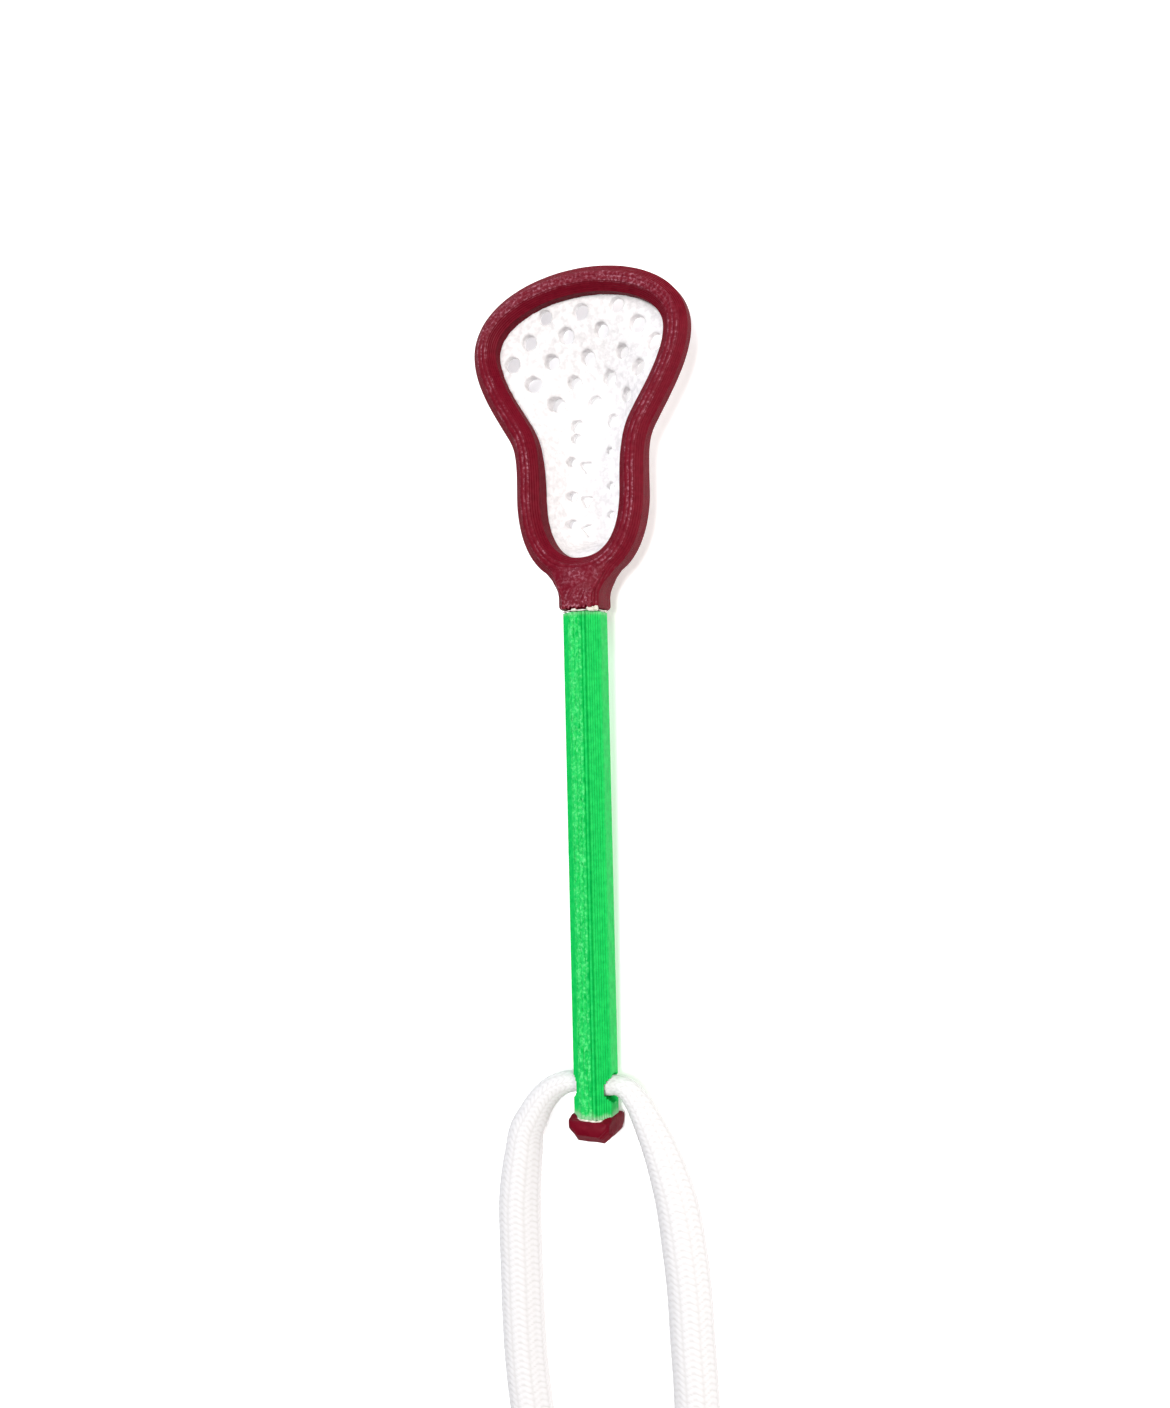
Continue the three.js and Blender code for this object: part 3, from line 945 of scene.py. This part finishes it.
def mapRange(tree, value, low, high, start=0.0, end=1.0):
    node = addNode(tree, "ShaderNodeMapRange", interpolation_type="SMOOTHSTEP")
    for socket, number in zip(node.inputs[1:5], (low, high, start, end)):
        socket.default_value = number
    tree.links.new(value, node.inputs[0])
    return node.outputs[0]


def mixColour(tree, factor, first, second):
    node = addNode(tree, "ShaderNodeMix", data_type="RGBA")
    tree.links.new(factor, node.inputs[0])
    for socket, value in ((node.inputs[6], first), (node.inputs[7], second)):
        if isinstance(value, tuple):
            socket.default_value = value
        else:
            tree.links.new(value, socket)
    return node.outputs[2]


hazeColour = (0.52, 0.60, 0.50, 1)  # glue bloom
finishes = {
    "maroonPrint": {
        "colour": (0.17, 0.003, 0.014, 1),
        "frostAndHighlight": (0.50, 0.20, 0.26, 1),  # colour of the scuffs and painted highlights
        "frostAndHighlightAmount": 0.8,
        "gloss": 0.45,
        "bump": 0.45,
        "layers": 0,  # fine layer lines to a metre, none where the mesh itself has them
        "scatter": 0.0,
    },
    "greenPrint": {
        "colour": (0.010, 0.60, 0.11, 1),
        "frostAndHighlight": (0.20, 0.88, 0.33, 1),
        "frostAndHighlightAmount": 0.5,
        "gloss": 0.40,
        "bump": 0.45,
        "layers": 0,
        "scatter": 0.0,
    },
    "whitePrint": {
        "colour": (0.93, 0.915, 0.92, 1),
        "frostAndHighlight": (0.95, 0.95, 0.95, 1),
        "frostAndHighlightAmount": 0.2,
        "gloss": 0.5,
        "bump": 0.4,
        "layers": 5000,
        "scatter": 0.8,
    },
}


# Node group: colour, roughness and height of printed plastic, frosted with specks on its front, which are
# partly painted highlights and fall only on faces pointing up.
def printedSurface():
    group = bpy.data.node_groups.new("printedSurface", "ShaderNodeTree")
    for name in ("Colour", "Frost And Highlight"):
        group.interface.new_socket(name, in_out="INPUT", socket_type="NodeSocketColor")
    for name in ("Frost And Highlight Amount", "Haze", "Gloss", "Layer"):
        group.interface.new_socket(name, in_out="INPUT", socket_type="NodeSocketFloat")
    group.interface.new_socket("Colour", in_out="OUTPUT", socket_type="NodeSocketColor")
    for name in ("Roughness", "Height"):
        group.interface.new_socket(name, in_out="OUTPUT", socket_type="NodeSocketFloat")
    inputs = group.nodes.new("NodeGroupInput")
    outputs = group.nodes.new("NodeGroupOutput")
    place = group.nodes.new("ShaderNodeTexCoord")
    level = addNode(group, "ShaderNodeMapping", vector_type="POINT")
    level.inputs["Rotation"].default_value = (-lie["pitch"], 0, 0)
    group.links.new(place.outputs["Object"], level.inputs["Vector"])

    def noiseOf(scale, detail, roughness=0.5, stretch=None):
        node = addNode(group, "ShaderNodeTexNoise", Scale=scale, Detail=detail, Roughness=roughness)
        source = level.outputs[0]
        if stretch:
            squash = addNode(group, "ShaderNodeMapping")
            squash.inputs["Scale"].default_value = stretch
            group.links.new(source, squash.inputs["Vector"])
            source = squash.outputs[0]
        group.links.new(source, node.inputs["Vector"])
        return node.outputs["Factor" if "Factor" in node.outputs else "Fac"]

    apart = group.nodes.new("ShaderNodeSeparateXYZ")
    group.links.new(level.outputs[0], apart.inputs[0])
    facing = group.nodes.new("ShaderNodeSeparateXYZ")
    group.links.new(place.outputs["Normal"], facing.inputs[0])
    front = mapRange(group, facing.outputs["Z"], 0.86, 0.985)
    cloud = noiseOf(1500, 4, 0.6)
    tint = mapRange(group, cloud, 0.3, 0.7, 0.0, 1.0)
    dark = addNode(group, "ShaderNodeHueSaturation", Saturation=1.05, Value=0.8)
    group.links.new(inputs.outputs["Colour"], dark.inputs["Color"])
    base = mixColour(group, tint, dark.outputs[0], inputs.outputs["Colour"])
    speck = mapRange(group, noiseOf(3000, 2, 0.6), 0.45, 0.66, 0.12, 1.0)
    # Painted highlight in part: the frost specks are laid only on faces that point up.
    facingUp = mapRange(group, facing.outputs["Z"], 0.5, 0.8)
    frostAndHighlightShare = mathNode(group, "MULTIPLY", speck, facingUp)
    frostAndHighlightShare = mathNode(group, "MULTIPLY", frostAndHighlightShare, inputs.outputs["Frost And Highlight Amount"], clamp=True)
    scuffedAndHighlighted = mixColour(group, frostAndHighlightShare, base, inputs.outputs["Frost And Highlight"])
    bloom = mapRange(group, noiseOf(2200, 3, 0.6), 0.3, 0.6, 0.4, 1.0)
    hazed = mathNode(group, "MULTIPLY", bloom, inputs.outputs["Haze"], clamp=True)
    group.links.new(mixColour(group, hazed, scuffedAndHighlighted, hazeColour), outputs.inputs["Colour"])
    streak = noiseOf(1500, 2, 0.5, (0.25, 0.25, 2.5))
    rough = mathNode(group, "ADD", mapRange(group, streak, 0.3, 0.7, -0.06, 0.06), inputs.outputs["Gloss"])
    rough = mathNode(group, "ADD", rough, mathNode(group, "MULTIPLY", front, 0.12))
    group.links.new(rough, outputs.inputs["Roughness"])
    turns = mathNode(group, "MULTIPLY", apart.outputs["Z"], inputs.outputs["Layer"])
    wave = mathNode(group, "SINE", mathNode(group, "MULTIPLY", turns, math.pi), 0)
    ridge = mathNode(group, "ABSOLUTE", wave, 0)
    side = mathNode(group, "SUBTRACT", 1, front)
    ridge = mathNode(group, "MULTIPLY", ridge, side)
    grain = mathNode(group, "MULTIPLY", noiseOf(5200, 3, 0.6), 0.35)
    height = mathNode(group, "ADD", ridge, mathNode(group, "ADD", grain, frostAndHighlightShare))
    group.links.new(height, outputs.inputs["Height"])
    return group


def printedPlastic(name):
    finish = finishes[name]
    material, tree, shader = newMaterial(name)
    node = tree.nodes.new("ShaderNodeGroup")
    node.node_tree = printGroup
    node.inputs["Colour"].default_value = finish["colour"]
    node.inputs["Frost And Highlight"].default_value = finish["frostAndHighlight"]
    node.inputs["Gloss"].default_value = finish["gloss"]
    node.inputs["Layer"].default_value = finish["layers"]
    wearAndPaintedLight = addNode(tree, "ShaderNodeAttribute", attribute_name="frostAndHighlight")
    frostAndHighlightShare = mathNode(tree, "MULTIPLY", wearAndPaintedLight.outputs["Fac"], finish["frostAndHighlightAmount"])
    tree.links.new(frostAndHighlightShare, node.inputs["Frost And Highlight Amount"])
    bloom = addNode(tree, "ShaderNodeAttribute", attribute_name="haze")
    tree.links.new(bloom.outputs["Fac"], node.inputs["Haze"])
    tree.links.new(node.outputs["Colour"], shader.inputs["Base Color"])
    tree.links.new(node.outputs["Roughness"], shader.inputs["Roughness"])
    relief = addNode(tree, "ShaderNodeBump", Strength=finish["bump"], Distance=0.00003)
    tree.links.new(node.outputs["Height"], relief.inputs["Height"])
    tree.links.new(relief.outputs[0], shader.inputs["Normal"])
    shader.inputs["Subsurface Weight"].default_value = finish["scatter"]
    shader.inputs["Subsurface Radius"].default_value = (0.001, 0.001, 0.001)
    shader.inputs["Subsurface Scale"].default_value = 1.0
    shader.inputs["Specular IOR Level"].default_value = 0.1
    return material


def knittedCotton():
    material, tree, shader = newMaterial("knittedCotton")
    stitch = addNode(tree, "ShaderNodeAttribute", attribute_name="stitch")
    # Painted shade: the gaps between stitches get the greyer colour, the raised stitches the lighter one.
    wearAndPaintedLight = mapRange(tree, stitch.outputs["Fac"], 0.25, 0.9)
    shade = mixColour(tree, wearAndPaintedLight, (0.68, 0.665, 0.66, 1), (0.81, 0.80, 0.81, 1))
    tree.links.new(shade, shader.inputs["Base Color"])
    place = tree.nodes.new("ShaderNodeTexCoord")
    fibre = addNode(tree, "ShaderNodeTexNoise", Scale=5200, Detail=3)
    tree.links.new(place.outputs["Object"], fibre.inputs["Vector"])
    relief = addNode(tree, "ShaderNodeBump", Strength=0.4, Distance=0.00004)
    tree.links.new(fibre.outputs[0], relief.inputs["Height"])
    tree.links.new(relief.outputs[0], shader.inputs["Normal"])
    shader.inputs["Roughness"].default_value = 0.85
    shader.inputs["Specular IOR Level"].default_value = 0.2
    shader.inputs["Sheen Weight"].default_value = 0.2
    return material


def driedGlue():
    material, tree, shader = newMaterial("driedGlue")
    place = tree.nodes.new("ShaderNodeTexCoord")
    bloom = addNode(tree, "ShaderNodeTexNoise", Scale=2600, Detail=3)
    tree.links.new(place.outputs["Object"], bloom.inputs["Vector"])
    cloud = mapRange(tree, bloom.outputs[0], 0.35, 0.65)
    shade = mixColour(tree, cloud, (0.60, 0.56, 0.46, 1), (0.84, 0.82, 0.74, 1))
    tree.links.new(shade, shader.inputs["Base Color"])
    tree.links.new(mapRange(tree, bloom.outputs[0], 0.3, 0.7, 0.25, 0.55), shader.inputs["Roughness"])
    return material


printGroup = printedSurface()
maroon = printedPlastic("maroonPrint")
green = printedPlastic("greenPrint")
white = printedPlastic("whitePrint")
cotton = knittedCotton()

headPiece = makeHead()
dress(headPiece, maroon, "maroon_plastic", "head_frame")
print("head frame made")
shaftPiece = makeShaft()
dress(shaftPiece, green, "green_plastic", "shaft")
print("shaft made")
capPiece = makeCap()
dress(capPiece, maroon, "maroon_plastic", "butt_cap")
print("butt cap made")
pocketPiece = makePocket()
dress(pocketPiece, white, "white_plastic", "mesh_pocket")
print("mesh pocket made")
glueMaterial = driedGlue()
throatGluePiece = makeThroatGlue()
dress(throatGluePiece, glueMaterial, "glue", "throat_glue")
capGluePiece = makeCapGlue()
dress(capGluePiece, glueMaterial, "glue", "cap_glue")
print("glue made")
knotPiece = makeKnot()
dress(knotPiece, cotton, "cord", "cord_knot")
dress(rightCord, cotton, "cord", "cord_right_leg", "cord_bight")
dress(leftCord, cotton, "cord", "cord_left_leg")
print("knot made")


def metres(points):
    return [tuple(p * millimetre) for p in points]


def lengthOf(line):
    return sum((b - a).length for a, b in zip(line, line[1:])) * millimetre


lengthOf(rightLine)
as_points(metres(rightLine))
lengthOf(leftLine)
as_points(metres(leftLine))


studio = {
    "floorSize": 1.6,
    "floorColour": (0.93, 0.93, 0.93, 1),
    "glow": 0.36,  # the floor's own light keeps its shadows faint
    "ambient": 0.14,
    "lights": (  # name, place, size, power and colour
        ("frontLight", (0.08, 0.0, 0.60), 0.18, 3.1, (1.0, 1.0, 1.0)),
        ("rightLight", (0.38, 0.10, 0.35), 0.13, 0.95, (1.0, 0.92, 0.85)),
        ("leftLight", (-0.30, 0.38, 0.26), 0.12, 0.8, (0.82, 0.87, 1.0)),
    ),
}


def makeFloor():
    bm = bmesh.new()
    bmesh.ops.create_grid(bm, x_segments=1, y_segments=1, size=studio["floorSize"] / 2)
    mesh = bpy.data.meshes.new("floor")
    bm.to_mesh(mesh)
    bm.free()
    floor = bpy.data.objects.new("floor", mesh)
    bpy.context.scene.collection.objects.link(floor)
    material, tree, shader = newMaterial("paleFloor")
    shader.inputs["Base Color"].default_value = studio["floorColour"]
    shader.inputs["Roughness"].default_value = 0.9
    shader.inputs["Emission Color"].default_value = (1, 1, 1, 1)
    shader.inputs["Emission Strength"].default_value = studio["glow"]
    mesh.materials.append(material)


def softLight(name, spot, size, power, colour):
    data = bpy.data.lights.new(name, "AREA")
    data.shape = "DISK"
    data.size = size
    data.energy = power
    data.color = colour
    light = bpy.data.objects.new(name, data)
    light.location = spot
    light.rotation_euler = (-Vector(spot)).to_track_quat("-Z", "Y").to_euler()
    bpy.context.scene.collection.objects.link(light)


def makeStudio():
    world = bpy.data.worlds.new("studio")
    world.use_nodes = True
    world.node_tree.nodes["Background"].inputs[0].default_value = (1, 1, 1, 1)
    world.node_tree.nodes["Background"].inputs[1].default_value = studio["ambient"]
    bpy.context.scene.world = world
    for light in studio["lights"]:
        softLight(*light)
    bpy.context.scene.view_settings.view_transform = "Standard"


makeFloor()
makeStudio()
print("floor and lights made")
